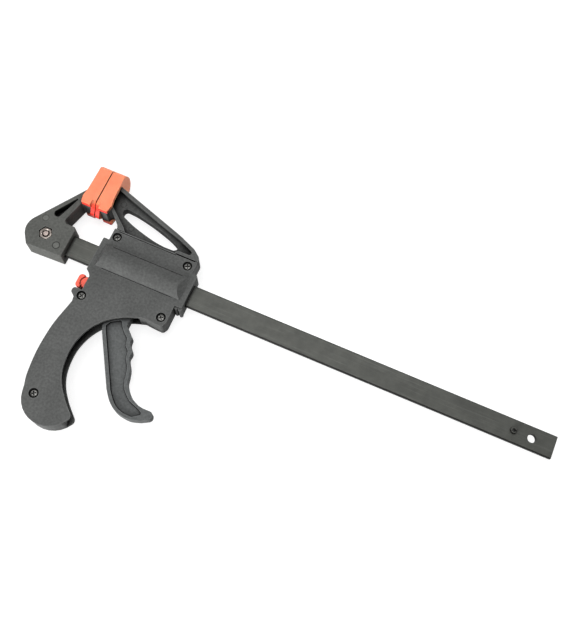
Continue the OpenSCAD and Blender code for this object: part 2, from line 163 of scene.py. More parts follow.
def ejector_mark(tree, coords, skin, x, y, radius_mm, tone, ring):
    flat = add(tree, "ShaderNodeMapping", {"Scale": (1, 1, 0)}, Vector=coords)
    away = add(tree, "ShaderNodeVectorMath", {
        "operation": "DISTANCE", 0: flat.outputs["Vector"], 1: (at(x, y).x, at(x, y).y, 0)})
    steps = add(tree, "ShaderNodeMapRange", {"From Min": 0.0, "From Max": MARK_SPAN_MM / 1000},
                Value=away.outputs["Value"])
    r = radius_mm / MARK_SPAN_MM
    # The ring's darker tone is painted shade at the mark's sunken rim.
    band = add(tree, "ShaderNodeValToRGB", {"stops": [
        (0.0, tone), (r - 0.05, tone), (r - 0.015, ring), (r + 0.03, ring), (r + 0.06, 1.0)]},
        Fac=steps.outputs["Result"])
    mixed = add(tree, "ShaderNodeMix", {"data_type": "RGBA", "blend_type": "MULTIPLY", 0: 1.0,
                                        6: skin, 7: band.outputs["Color"]})
    return mixed.outputs[2]


print("marks up to", MARK_SPAN_MM, "mm from a pin's centre can be drawn")

# %% [markdown]
# The housing, jaws and trigger are glass-filled nylon from a spark-eroded mould. The
# erosion leaves a pebble grain of about 0.3 mm, which would vanish at arm's length, so it is
# drawn at 1.1 mm. The glass fibres float up in small grey flecks and soft cloudy patches,
# so the skin is never one flat tone. An image of such grain could be wrapped round each
# piece, but it would show seams. Noise at Object coordinates runs through the whole piece and
# has none: a slow cloud and a fleck of 2 mm make the colour, and the pebble grain the bump.
# The Ambient Occlusion node, looking inwards this time, finds the edges, which handling has
# rubbed paler. The pebbles shade each other, so the skin shines less than smooth nylon would.

# %% Moulded nylon
CLOUD_MM, FLECK_MM, PEBBLE_MM = 26, 2.0, 1.1
PEBBLE_DEEP_MM = 0.18
EDGE_REACH_MM = 0.8
SMOOTHEST, ROUGHEST = 0.55, 0.67
PEBBLE_SHINE = 0.08
NYLON_IOR = 1.53


def moulded_nylon(name, low, high, rub, marks=()):
    mat, tree, shader, coords = new_material(name)
    cloud = add(tree, "ShaderNodeTexNoise", {"Scale": 1000 / CLOUD_MM, "Detail": 4.0,
                                             "Roughness": 0.6}, Vector=coords)
    grain = add(tree, "ShaderNodeTexNoise", {"Scale": 1000 / PEBBLE_MM, "Detail": 1.0},
                Vector=coords)
    fleck = add(tree, "ShaderNodeTexNoise", {"Scale": 1000 / FLECK_MM, "Detail": 2.0},
                Vector=coords)
    base = add(tree, "ShaderNodeValToRGB", {"stops": [(0.3, low), (0.7, high)]},
               Fac=cloud.outputs["Fac"])
    speck = add(tree, "ShaderNodeValToRGB", {"stops": [(0.3, 0.72), (0.7, 1.0)]},
                Fac=fleck.outputs["Fac"])
    mixed = add(tree, "ShaderNodeMix", {"data_type": "RGBA", "blend_type": "MULTIPLY", 0: 1.0,
                                        6: base.outputs["Color"], 7: speck.outputs["Color"]})
    skin = mixed.outputs[2]
    for mark in marks:
        skin = ejector_mark(tree, coords, skin, *mark)
    inside = add(tree, "ShaderNodeAmbientOcclusion", {"samples": 6, "inside": True,
                                                      "Distance": EDGE_REACH_MM / 1000})
    edges = add(tree, "ShaderNodeValToRGB", {"stops": [(0.55, 0.5), (0.9, 0.0)]},
                Fac=inside.outputs["AO"])
    worn = add(tree, "ShaderNodeMix", {"data_type": "RGBA", 0: edges.outputs["Color"], 6: skin,
                                       7: colour(rub)})
    # Painted shade in corners darkens the skin.
    tree.links.new(corner_shaded(tree, worn.outputs[2]), shader.inputs["Base Color"])
    gloss = add(tree, "ShaderNodeValToRGB", {"stops": [(0.3, SMOOTHEST), (0.7, ROUGHEST)]},
                Fac=cloud.outputs["Fac"])
    tree.links.new(gloss.outputs["Color"], shader.inputs["Roughness"])
    bump = add(tree, "ShaderNodeBump", {"Strength": 0.5, "Distance": PEBBLE_DEEP_MM / 1000},
               Height=grain.outputs["Fac"])
    tree.links.new(bump.outputs["Normal"], shader.inputs["Normal"])
    shader.inputs["IOR"].default_value = NYLON_IOR
    shader.inputs["Specular IOR Level"].default_value = PEBBLE_SHINE
    return mat


print("clouds of", CLOUD_MM, "mm, flecks of", FLECK_MM, "mm, pebbles of", PEBBLE_MM, "mm")

# %% [markdown]
# The housing, the fixed jaw and the trigger differ a little in tone, as pieces from three
# moulds do. One recipe with three sets of colours keeps them a family. The first two carry
# ejector marks, each given by its place, its radius in millimetres, its tone and the tone of
# its ring of painted shade.

# %% The clamp's nylons
HOUSING = moulded_nylon("glass_filled_nylon_housing", "535453", "5D5E5D", "717271",
                        [(36.2, 34.9, 2.0, 1.12, 0.7), (19.7, 53.5, 2.5, 1.08, 0.75)])
JAW = moulded_nylon("glass_filled_nylon_jaw", "555653", "5F605D", "737472",
                    [(-34.7, 12.8, 2.7, 1.4, 0.7), (-14.4, -6.6, 3.0, 1.3, 0.35)])
LEVER = moulded_nylon("glass_filled_nylon_lever", "585A5A", "626464", "787A7A")
print("nylon mouldings:", HOUSING.name, JAW.name, LEVER.name)

# %% [markdown]
# The bar is hot rolled flat steel, blackened. Rolling leaves long faint streaks along it,
# and handling wears the two broad faces grey. The narrow sides and the walls of the holes are
# a porous oxide that hardly shines, and they are painted near black, which is partly the
# oxide's own black and partly painted shade and painted dark reflection. An anisotropic
# shader could stretch the gloss along the bar, but the oxide is too dull to show that. So the
# streaks are drawn, with noise that a Mapping node stretches, in the colour, the gloss and the
# bump. The painted black of the sides comes from how far the surface turns from the broad face.

# %% Blackened steel
STREAK_MM, STREAK_DEEP_MM = 1.6, 0.06
MOTTLE_MM = 14
BROAD_Z, SIDE_Z = 0.995, 0.8
OXIDE_SHINE = 0.1


def blackened_steel(name, low, high, streak, rough, metal, along=1.0, sides=None, reach_mm=4.0):
    mat, tree, shader, coords = new_material(name)
    long_way = add(tree, "ShaderNodeMapping", {"Scale": (1 / along, 1, 1)}, Vector=coords)
    lines = add(tree, "ShaderNodeTexNoise", {"Scale": 1000 / STREAK_MM, "Detail": 6.0,
                                             "Roughness": 0.7}, Vector=long_way.outputs["Vector"])
    mottle = add(tree, "ShaderNodeTexNoise", {"Scale": 1000 / MOTTLE_MM, "Detail": 6.0,
                                              "Roughness": 0.65}, Vector=coords)
    base = add(tree, "ShaderNodeValToRGB", {"stops": [(0.3, low), (0.72, high)]},
               Fac=mottle.outputs["Fac"])
    marks = add(tree, "ShaderNodeValToRGB", {"stops": [(0.55, 0.0), (0.78, 0.6)]},
                Fac=lines.outputs["Fac"])
    mixed = add(tree, "ShaderNodeMix", {"data_type": "RGBA", 0: marks.outputs["Color"],
                                        6: base.outputs["Color"], 7: colour(streak)})
    skin = mixed.outputs[2]
    shader.inputs["Metallic"].default_value = metal
    # Painted shade: faces that turn from the broad faces, the narrow sides and the hole walls, are
    # painted near black, which stands in for their shade as well as the oxide's black.
    if sides:
        facing = add(tree, "ShaderNodeSeparateXYZ",
                     Vector=add(tree, "ShaderNodeNewGeometry").outputs["Normal"])
        level = add(tree, "ShaderNodeMath", {"operation": "ABSOLUTE", 0: facing.outputs["Z"]})
        upright = add(tree, "ShaderNodeMapRange", {"From Min": BROAD_Z, "From Max": SIDE_Z},
                      Value=level.outputs[0])
        black = add(tree, "ShaderNodeMix", {"data_type": "RGBA", 0: upright.outputs["Result"],
                                            6: skin, 7: colour(sides)})
        skin = black.outputs[2]
        bare = add(tree, "ShaderNodeMapRange", {"To Min": metal, "To Max": 0.0},
                   Value=upright.outputs["Result"])
        tree.links.new(bare.outputs["Result"], shader.inputs["Metallic"])
        shader.inputs["Specular IOR Level"].default_value = OXIDE_SHINE
    # Painted shade in corners darkens the skin.
    tree.links.new(corner_shaded(tree, skin, reach_mm, darkest=0.12), shader.inputs["Base Color"])
    gloss = add(tree, "ShaderNodeValToRGB", {"stops": [(0.3, rough + 0.08), (0.75, rough - 0.1)]},
                Fac=lines.outputs["Fac"])
    tree.links.new(gloss.outputs["Color"], shader.inputs["Roughness"])
    bump = add(tree, "ShaderNodeBump", {"Strength": 0.25, "Distance": STREAK_DEEP_MM / 1000},
               Height=lines.outputs["Fac"])
    tree.links.new(bump.outputs["Normal"], shader.inputs["Normal"])
    return mat


print("streaks of", STREAK_MM, "mm on patches of", MOTTLE_MM, "mm")

# %% [markdown]
# Five steels come from this recipe. The bar's is the darkest, with streaks forty times as
# long as they are wide, and sides painted black as shade. Screws, nut and bolt are paler and
# have no long streaks, and the painted corner shade reaches less far on them, because they
# are small. Plates and springs are bright, so the shader takes them as nearly all metal.

# %% The clamp's steels
BAR_STEEL = blackened_steel("black_oxide_bar_steel", "4B4C49", "595A56", "6E6F6B", rough=0.52,
                            metal=0.35, along=40.0, sides="0E0E0C")
SCREW_STEEL = blackened_steel("black_oxide_screw_steel", "62625F", "787875", "9C9C98", rough=0.42,
                              metal=0.5, reach_mm=1.8)
NUT_STEEL = blackened_steel("dark_nut_steel", "7C746E", "8F8781", "A79F99", rough=0.4, metal=0.6,
                            reach_mm=1.2)
BOLT_STEEL = blackened_steel("plain_bolt_steel", "9A8C86", "B0A29B", "C4B9B3", rough=0.4, metal=0.6,
                             reach_mm=1.2)
PLATE_STEEL = blackened_steel("ground_plate_steel", "8C8C8A", "A3A3A1", "C4C4C2", rough=0.3,
                              metal=0.95, along=8.0)
print("steels:", [m.name for m in (BAR_STEEL, SCREW_STEEL, NUT_STEEL, BOLT_STEEL, PLATE_STEEL)])

# %% [markdown]
# The jaw caps are thermoplastic rubber: a deep red-orange, quite matt, with soft clouds of
# chalky bloom. Which way a face looks sets its tone: the top is painted a paler orange, a
# painted sheen, the ends that look towards the bar's tail are paler still, a painted
# highlight, and the undersides are painted a deeper red, painted shade. These could be
# painted by hand, but two masks that read which way a face looks treat the two caps alike.
# Light enters soft rubber a little, red light furthest, so it gets subsurface scattering of
# up to 2 mm. The button is harder plastic in the same recipe, with very little scattering.

# %% Orange rubber and button plastic
BLOOM_MM, GRAIN_MM = 12, 1.8
GRAIN_DEEP_MM = 0.1
OUTER_X, UNDER_Y = (0.3, 0.9), (-0.35, -0.8)
SCATTER_MM, SCATTER_RGB = 2, (1.0, 0.35, 0.2)
RUBBER_IOR = 1.5


def soft_orange(name, low, high, deep, painted_end_light, rough, scatter):
    mat, tree, shader, coords = new_material(name)
    bloom = add(tree, "ShaderNodeTexNoise", {"Scale": 1000 / BLOOM_MM, "Detail": 5.0,
                                             "Roughness": 0.6}, Vector=coords)
    skin = add(tree, "ShaderNodeTexNoise", {"Scale": 1000 / GRAIN_MM, "Detail": 2.0},
               Vector=coords)
    base = add(tree, "ShaderNodeValToRGB", {"stops": [(0.3, low), (0.72, high)]},
               Fac=bloom.outputs["Fac"])
    facing = add(tree, "ShaderNodeSeparateXYZ",
                 Vector=add(tree, "ShaderNodeNewGeometry").outputs["Normal"])
    tint = base.outputs["Color"]
    # Painted light and shade: faces that look towards the bar's tail take the paler tone, a painted
    # highlight, and undersides the deeper red, painted shade.
    for axis, (start, full), tone in (("X", OUTER_X, painted_end_light), ("Y", UNDER_Y, deep)):
        mask = add(tree, "ShaderNodeMapRange", {"From Min": start, "From Max": full},
                   Value=facing.outputs[axis])
        mixed = add(tree, "ShaderNodeMix", {"data_type": "RGBA", 0: mask.outputs["Result"],
                                            6: tint, 7: colour(tone)})
        tint = mixed.outputs[2]
    # Painted shade in corners and in the line where the caps meet.
    tree.links.new(corner_shaded(tree, tint, reach_mm=3.0, darkest=0.25), shader.inputs["Base Color"])
    gloss = add(tree, "ShaderNodeValToRGB", {"stops": [(0.3, rough - 0.06), (0.7, rough + 0.06)]},
                Fac=bloom.outputs["Fac"])
    tree.links.new(gloss.outputs["Color"], shader.inputs["Roughness"])
    bump = add(tree, "ShaderNodeBump", {"Strength": 0.25, "Distance": GRAIN_DEEP_MM / 1000},
               Height=skin.outputs["Fac"])
    tree.links.new(bump.outputs["Normal"], shader.inputs["Normal"])
    shader.inputs["Subsurface Weight"].default_value = scatter
    shader.inputs["Subsurface Scale"].default_value = SCATTER_MM / 1000
    shader.inputs["Subsurface Radius"].default_value = SCATTER_RGB
    shader.inputs["IOR"].default_value = RUBBER_IOR
    return mat


# The fourth colour is the painted shade of the undersides, the fifth the painted highlight on the
# ends.
PAD = soft_orange("orange_jaw_rubber", "EE7F58", "F58E67", "F4301C", "FF9A72", rough=0.55,
                  scatter=0.35)
BUTTON = soft_orange("red_orange_button_plastic", "F0543E", "F66048", "E84430", "FF7058", rough=0.5,
                     scatter=0.06)
print("soft colours:", PAD.name, BUTTON.name)

# %% [markdown]
# A moulding never has a knife edge. Each plastic piece is a copy of its plain solid with
# the doubles merged and flat faces joined up. A Bevel modifier would round the inner corners
# too, which are sharp on a real moulding. So only the edges that a hand can reach are picked,
# by their angle and their height, and bevelled.

# %% Soft-edged copies
MERGE_M = 2e-6
FLAT_DEGREES = 0.6
HALF_BODY, HALF_JAW = 9.5, 9.75


def plain_copy(node):
    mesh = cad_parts[node].data.copy()
    shape = bmesh.new()
    shape.from_mesh(mesh)
    bmesh.ops.remove_doubles(shape, verts=shape.verts, dist=MERGE_M)
    bmesh.ops.dissolve_limit(shape, angle_limit=math.radians(FLAT_DEGREES), verts=shape.verts,
                             edges=shape.edges)
    return shape, mesh


def hard_edges(shape, least=40):
    return [e for e in shape.edges
            if len(e.link_faces) == 2 and e.calc_face_angle_signed(0) > math.radians(least)]


def soften(shape, edges, radius_mm, segments=3):
    bmesh.ops.bevel(shape, geom=edges, offset=radius_mm / 1000, offset_type="OFFSET",
                    segments=segments, profile=0.5, affect="EDGES", clamp_overlap=True)


def on_level(edge, levels, tol=0.03):
    heights = [drawn(v.co).z for v in edge.verts]
    return any(all(abs(h - level) < tol for h in heights) for level in levels)


def middle(edge):
    return drawn((edge.verts[0].co + edge.verts[1].co) / 2)


print("half the housing's depth:", HALF_BODY, "mm, half a jaw's:", HALF_JAW, "mm")

# %% [markdown]
# A finished piece stands for its solid: it moves with the same body and takes the finish
# that it is given. Smooth shading alone would make flat faces look swollen next to their
# round edges. Edges over 32 degrees stay sharp, and weighted normals keep flat faces flat to
# the eye.

# %% Finishing a piece
SHARP_DEGREES = 32


def finish_piece(shape, mesh, name, material, body, node):
    bmesh.ops.recalc_face_normals(shape, faces=shape.faces)
    shape.to_mesh(mesh)
    shape.free()
    mesh.materials.clear()
    mesh.materials.append(material)
    for face in mesh.polygons:
        face.use_smooth = True
        face.material_index = 0
    mesh.set_sharp_from_angle(angle=math.radians(SHARP_DEGREES))
    piece = bpy.data.objects.new(name, mesh)
    bpy.context.scene.collection.objects.link(piece)
    even = piece.modifiers.new("even_normals", "WEIGHTED_NORMAL")
    even.keep_sharp = True
    even.weight = 100
    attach(piece, body)
    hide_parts(node)
    print(name, "has", len(mesh.polygons), "faces")


# %% [markdown]
# Some shapes are cut out of others or joined to them. A Boolean modifier does both, and what
# it makes is turned into a plain mesh at once. A narrow step, such as a seam's, is a thin
# box given by two corners, which is taken away.

# %% Cutting and joining
def combine(thing, tool, how):
    cut = thing.modifiers.new("combine", "BOOLEAN")
    cut.operation = how
    cut.object = tool
    cut.solver = "EXACT"
    view = bpy.context.evaluated_depsgraph_get()
    mesh = bpy.data.meshes.new_from_object(thing.evaluated_get(view))
    thing.modifiers.clear()
    thing.data = mesh
    bpy.data.objects.remove(tool)
    return thing


def as_object(shape, name):
    mesh = bpy.data.meshes.new(name)
    shape.to_mesh(mesh)
    shape.free()
    thing = bpy.data.objects.new(name, mesh)
    bpy.context.scene.collection.objects.link(thing)
    return thing


def notched(shape, low, high):
    block = bmesh.new()
    bmesh.ops.create_cube(block, size=1)
    for v in block.verts:
        v.co = at(*[lo + (c + 0.5) * (hi - lo) for lo, hi, c in zip(low, high, v.co)])
    thing = combine(as_object(shape, "work"), as_object(block, "block"), "DIFFERENCE")
    shape = bmesh.new()
    shape.from_mesh(thing.data)
    bpy.data.objects.remove(thing)
    bmesh.ops.dissolve_limit(shape, angle_limit=math.radians(FLAT_DEGREES), verts=shape.verts,
                             edges=shape.edges)
    return shape


print("flat faces are joined up below", FLAT_DEGREES, "degrees after each cut")

# %% [markdown]
# The front cover is one half of the housing: a flat tray with a barrel bulge over the
# springs and five counterbores for its screws. The rim that the hand meets gets a round of
# under a millimetre; the counterbores stay crisp, because a core pin made them. Where the
# cover meets the arm, the real joint shows as a dark line, and the foot of the barrel has
# such a line on both sides. Stripes in the material could stand for them, but a narrow step
# that is cut takes its shade from the light, and it stays in the mesh.

# %% Front cover
SCREWS = [(30.2, 21.5), (97.4, 21.6), (26.7, -38.7), (96.8, -29.4), (30.4, -129.5)]
ABOVE = 12
ARM_HEEL_STEP = (83.4, 27.35, 7.9), (101.5, 29.5, ABOVE)
ARM_SEAM = (29.5, 26.5, 7.2), (84, 27.2, ABOVE)
BARREL_FOOT_Y = (11.7, -9.9)
BARREL_LEFT, BARREL_RIGHT = 31, 97.5
LINE_FLOOR = 8.8


def near_screw(p, reach=4.6):
    return any(math.hypot(p.x - x, p.y - y) < reach for x, y in SCREWS)


shape, mesh = plain_copy("front_cover")
shape = notched(shape, *ARM_HEEL_STEP)
rim = [e for e in hard_edges(shape) if on_level(e, [HALF_BODY]) and not near_screw(middle(e))]
soften(shape, rim, 0.6)
crown = [e for e in hard_edges(shape, 25) if middle(e).z > HALF_BODY + 0.6]
soften(shape, crown, 0.7)
shape = notched(shape, *ARM_SEAM)
for y in BARREL_FOOT_Y:
    shape = notched(shape, (BARREL_LEFT, y - 0.25, LINE_FLOOR), (BARREL_RIGHT, y + 0.3, ABOVE))
finish_piece(shape, mesh, "cover_moulding", HOUSING, "head", "front_cover")

# %% [markdown]
# The rear half carries the moving jaw's arm: a rib-edged plate with a long window. The rim
# of the arm is thicker than its web, as on any moulding that has to be stiff but light. Rim
# and web end at known levels, so their edges are picked by height, and the rim, which the
# hand meets, gets the larger round.

# %% Rear housing with the jaw arm
HALF_WEB = 4.5

shape, mesh = plain_copy("rear_housing")
rim = [e for e in hard_edges(shape) if on_level(e, [-HALF_BODY, -HALF_JAW, HALF_JAW])]
soften(shape, rim, 0.6)
web = [e for e in hard_edges(shape) if on_level(e, [HALF_WEB, -HALF_WEB])]
soften(shape, web, 0.5, 2)
finish_piece(shape, mesh, "rear_moulding", HOUSING, "head", "rear_housing")

# %% [markdown]
# The fixed jaw is bolted to the bar's end. Its nut pocket keeps a crisp rim, because a core
# pin made it, while its outline and its lightening pocket are rounded like the rest. Edges
# near the bolt's axis are those of the pocket, so their distance from it leaves them out.

# %% Fixed jaw
BOLT_X = -28.1
NUT_POCKET_R = 8

shape, mesh = plain_copy("fixed_jaw")
rim = [e for e in hard_edges(shape) if on_level(e, [HALF_JAW, -HALF_JAW])
       and math.hypot(middle(e).x - BOLT_X, middle(e).y) > NUT_POCKET_R]
soften(shape, rim, 0.5)
finish_piece(shape, mesh, "jaw_moulding", JAW, "bar_body", "fixed_jaw")

# %% [markdown]
# The trigger has a raised rim around a sunken panel, and finger bumps down its front. A fine
# groove runs round the panel, where the mould's insert met its frame. A Boolean could cut it,
# but an inset follows the outline by itself: the panel is inset, and the old outline pushed
# down. The panel's back edge first moves out a little, because the rim is narrower there.

# %% Trigger
HALF_TRIGGER = 5.2
PANEL_DEEPEST = 4.6
PANEL_AREA_M2 = 4e-4
PIVOT_X, PIVOT_Y, PIVOT_R = 67, -30, 4
BACK_X, BACK_Y, BACK_LEAN = 62, -58, 0.6
BACK_FOOT_Y, FADE_MM = -108, 48
NARROWER_MM = 1.5
TO_THE_BACK = Vector((-0.85, -0.52, 0))


def edged_groove(shape, faces, width_mm, depth_mm):
    for face in faces:
        inward = -face.normal * depth_mm / 1000
        made = bmesh.ops.inset_region(shape, faces=[face], thickness=width_mm / 1000,
                                      use_even_offset=True, use_boundary=True)
        outline = {v for side in made["faces"] for v in side.verts} - set(face.verts)
        for v in outline:
            v.co += inward


shape, mesh = plain_copy("trigger")
shape.normal_update()
panels = [f for f in shape.faces if abs(f.normal.z) > 0.99 and f.calc_area() > PANEL_AREA_M2
          and abs(drawn(f.calc_center_median()).z) < PANEL_DEEPEST]
print("panels:", [round(f.calc_area() * 1e6) for f in panels], "mm2")
walls = {v for f in panels for e in f.edges for side in e.link_faces for v in side.verts}
for v in walls:
    p = drawn(v.co)
    if p.x < BACK_X - BACK_LEAN * (p.y - BACK_Y) and p.y > BACK_FOOT_Y:
        share = min(1, (p.y - BACK_FOOT_Y) / FADE_MM)
        v.co += TO_THE_BACK * NARROWER_MM * share / 1000
edged_groove(shape, panels, 0.6, 0.9)
rim = [e for e in hard_edges(shape) if on_level(e, [HALF_TRIGGER, -HALF_TRIGGER])
       and math.hypot(middle(e).x - PIVOT_X, middle(e).y - PIVOT_Y) > PIVOT_R]
soften(shape, rim, 0.5)
finish_piece(shape, mesh, "trigger_moulding", LEVER, "trigger_body", "trigger")

# %% [markdown]
# The caps are moulded in rubber, so every outer edge is round. Each gripping face is flat in
# the middle and falls away a little at its border, so two closed caps show a dark line where
# they meet. A bevel would make one slope of it. The face is inset twice instead, and both
# outlines pushed back, which gives the flat middle a clear step round it.

# %% Jaw caps
GRIP_X, GRIP_CLEAR_X = 0.3, 0.7
CAP_SIDE_Z, CAP_TOP_Y = 9.9, 60


def soft_cap(node, name, body):
    shape, mesh = plain_copy(node)
    shape.normal_update()
    grips = [f for f in shape.faces if abs(f.normal.x) > 0.99
             and abs(drawn(f.calc_center_median()).x) < GRIP_X]
    print(name, "gripping faces:", [round(f.calc_area() * 1e6) for f in grips], "mm2")
    edged_groove(shape, grips, 2.4, 0.4)
    edged_groove(shape, grips, 0.3, 0.4)
    rim = [e for e in hard_edges(shape, 35) if abs(middle(e).x) > GRIP_CLEAR_X
           and (max(abs(drawn(v.co).z) for v in e.verts) > CAP_SIDE_Z or middle(e).y > CAP_TOP_Y)]
    soften(shape, rim, 0.35)
    finish_piece(shape, mesh, name, PAD, body, node)


soft_cap("fixed_jaw_pad", "fixed_jaw_cap", "bar_body")
soft_cap("moving_jaw_pad", "moving_jaw_cap", "head")

# %% [markdown]
# A flat-sided piece is easiest to draw as an outline from above, made of lines and arcs,
# that is pushed up to its height. These helpers do that, and round the two end faces.

# %% Outlines pushed up
def arc(x, y, radius, start, stop, steps=10):
    turns = [math.radians(start + (stop - start) * k / steps) for k in range(steps + 1)]
    return [(x + radius * math.cos(t), y + radius * math.sin(t)) for t in turns]


def prism(corners, height_mm):
    block = bmesh.new()
    base = block.faces.new([block.verts.new(corner) for corner in corners])
    top = bmesh.ops.extrude_face_region(block, geom=[base])["geom"]
    bmesh.ops.translate(block, vec=(0, 0, height_mm / 1000),
                        verts=[v for v in top if isinstance(v, bmesh.types.BMVert)])
    bmesh.ops.recalc_face_normals(block, faces=block.faces)
    return block


def standing(outline, half_height, round_mm):
    block = prism([at(x, y, -half_height) for x, y in outline], 2 * half_height)
    if round_mm:
        ends = [e for e in block.edges if on_level(e, [-half_height, half_height])]
        soften(block, ends, round_mm, 4)
    return block


print("a half circle of radius 1 in", len(arc(0, 0, 1, 0, 180)), "points")

# %% [markdown]
# The release button is one moulding: a finger plate with a hollowed back, and behind it a
# round-nosed body that slides through the housing's wall. The hollow follows the body's
# nose, which leaves a curved groove. Three outlines are pushed up, the third a neck that
# joins the other two, and Booleans make one skin of them.

# %% Release button
HALF_BUTTON, HALF_NECK = 6.5, 5.2
NOSE_X, NOSE_Y, NOSE_R = 24.8, -26.0, 5.4
BODY_END = 28.6
GROOVE = 0.8
CORNER_X, CORNER_R = 18.6, 3.1
plate = (arc(CORNER_X, -23.0, CORNER_R, 90, 180, 6) + arc(CORNER_X, -29.2, CORNER_R, 180, 270, 6)
         + [(20.2, -32.3)] + arc(NOSE_X, NOSE_Y, NOSE_R + GROOVE, 229, 131, 12) + [(20.2, -19.9)])
nose = (arc(NOSE_X, NOSE_Y, NOSE_R, 90, 270, 16)
        + [(BODY_END, NOSE_Y - NOSE_R), (BODY_END, NOSE_Y + NOSE_R)])
neck = [(17, -29.5), (22, -29.5), (22, -22.5), (17, -22.5)]
button = as_object(standing(plate, HALF_BUTTON, 0.8), "button_moulding")
button = combine(button, as_object(standing(nose, HALF_BUTTON, 0.7), "nose"), "UNION")
button = combine(button, as_object(standing(neck, HALF_NECK, 0), "neck"), "UNION")
shape = bmesh.new()
shape.from_mesh(button.data)
mesh = button.data
bpy.data.objects.remove(button)
finish_piece(shape, mesh, "button_moulding", BUTTON, "release", "release_button")

# %% [markdown]
# The bar is sheared flat stock. Its long edges are already round in its solid, so only the
# sharp ones are picked, by their angle: the cut tail and the rims of its holes get a small
# chamfer. The stop pin is a rolled spring pin in the bar's finish, so the wall of its bore
# takes the bar's painted shade and shows as a dark dot.

# %% Bar and stop pin
PIN_RIM_Z = 4.9

shape, mesh = plain_copy("bar")
soften(shape, hard_edges(shape, 50), 0.35, 2)
finish_piece(shape, mesh, "flat_bar", BAR_STEEL, "bar_body", "bar")

shape, mesh = plain_copy("stop_pin")
soften(shape, [e for e in hard_edges(shape, 50) if abs(middle(e).z) > PIN_RIM_Z], 0.3, 2)
finish_piece(shape, mesh, "rolled_stop_pin", BAR_STEEL, "bar_body", "stop_pin")

# %% [markdown]
# Fasteners are turned on a lathe from round or hexagonal bar. A half profile spun about the
# z axis makes the turned shapes, and a pushed-up hexagon the others. They are made at the
# scene's middle, so a last helper carries each to its place and gives it its finish.

# %% Turned and six-sided shapes
SPIN_SEAM_M = 1e-6
TURNED_SHARP_DEGREES = 35


def turned(name, profile, sides=64):
    shape = bmesh.new()
    verts = [shape.verts.new((r / 1000, 0, z / 1000)) for r, z in profile]
    edges = [shape.edges.new(pair) for pair in zip(verts, verts[1:])]
    bmesh.ops.spin(shape, geom=verts + edges, cent=(0, 0, 0), axis=(0, 0, 1),
                   angle=math.tau, steps=sides)
    bmesh.ops.remove_doubles(shape, verts=shape.verts, dist=SPIN_SEAM_M)
    bmesh.ops.recalc_face_normals(shape, faces=shape.faces)
    return as_object(shape, name)


def hexagon(name, across_flats, low, high):
    r = across_flats / math.sqrt(3) / 1000
    turns = [math.radians(60 * k) for k in range(6)]
    corners = [(r * math.cos(t), r * math.sin(t), low / 1000) for t in turns]
    return as_object(prism(corners, high - low), name)


def settle(thing, place, material, body, node):
    mesh = thing.data
    for v in mesh.vertices:
        v.co = v.co + place
    mesh.materials.clear()
    mesh.materials.append(material)
    for face in mesh.polygons:
        face.use_smooth = True
        face.material_index = 0
    mesh.set_sharp_from_angle(angle=math.radians(TURNED_SHARP_DEGREES))
    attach(thing, body)
    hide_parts(node)
    print(thing.name, "has", len(mesh.polygons), "faces")


print("turned faces stay sharp above", TURNED_SHARP_DEGREES, "degrees")

# %% [markdown]
# A hexagon nut is a hexagonal bar cut off and then turned, which is why its corners carry
# round chamfers. The same is done here: a hexagonal prism is intersected with a turned
# lens, and a bore with a countersink is taken out of it.

# %% Nut
ACROSS_FLATS = 10
CHAMFER_R, CORNERS_R = 4.9, 5.9
BORE_R = 3.06
NUT_LOW, NUT_HIGH = HALF_JAW - 4.4, HALF_JAW - 0.4
nut = hexagon("hexagon_nut", ACROSS_FLATS, NUT_LOW, NUT_HIGH)
lens = turned("lens", [(0, NUT_LOW - 0.01), (CHAMFER_R, NUT_LOW - 0.01),
                       (CORNERS_R, NUT_LOW + 0.5), (CORNERS_R, NUT_HIGH - 0.5),
                       (CHAMFER_R, NUT_HIGH + 0.01), (0, NUT_HIGH + 0.01)])
nut = combine(nut, lens, "INTERSECT")
bore = turned("bore", [(0, NUT_LOW - 1), (BORE_R, NUT_LOW - 1), (BORE_R, NUT_HIGH - 0.8),
                       (4.3, NUT_HIGH + 0.4), (0, NUT_HIGH + 0.4)])
nut = combine(nut, bore, "DIFFERENCE")
settle(nut, at(BOLT_X, 0), NUT_STEEL, "bar_body", "jaw_nut")

# %% [markdown]
# The bolt comes through from the back, where its head sits in a pocket like the nut's. Its
# end is a rod with a long chamfer, which leaves a dark ring in the nut.

# %% Bolt
THREAD_R = 2.98
HEAD_TOP = -NUT_LOW
bolt = turned("jaw_bolt_rod", [(0, HEAD_TOP - 3.2), (2.9, HEAD_TOP - 3.2), (THREAD_R, HEAD_TOP),
                               (THREAD_R, HALF_JAW - 2.4), (2.0, HALF_JAW - 0.5),
                               (0, HALF_JAW - 0.4)])
head = hexagon("bolt_head", ACROSS_FLATS, HEAD_TOP - 4, HEAD_TOP)
lens = turned("lens", [(0, HEAD_TOP - 4.01), (4.8, HEAD_TOP - 4.01), (CORNERS_R, HEAD_TOP - 3.4),
                       (CORNERS_R, HEAD_TOP + 0.01), (0, HEAD_TOP + 0.01)])
head = combine(head, lens, "INTERSECT")
bolt = combine(bolt, head, "UNION")
settle(bolt, at(BOLT_X, 0), BOLT_STEEL, "bar_body", "jaw_bolt")

# %% [markdown]
# Five equal screws close the housing. One is modelled at the scene's middle: a domed head on
# a shank, with a cross recess that is wide at the top and narrow below, as the driver is.

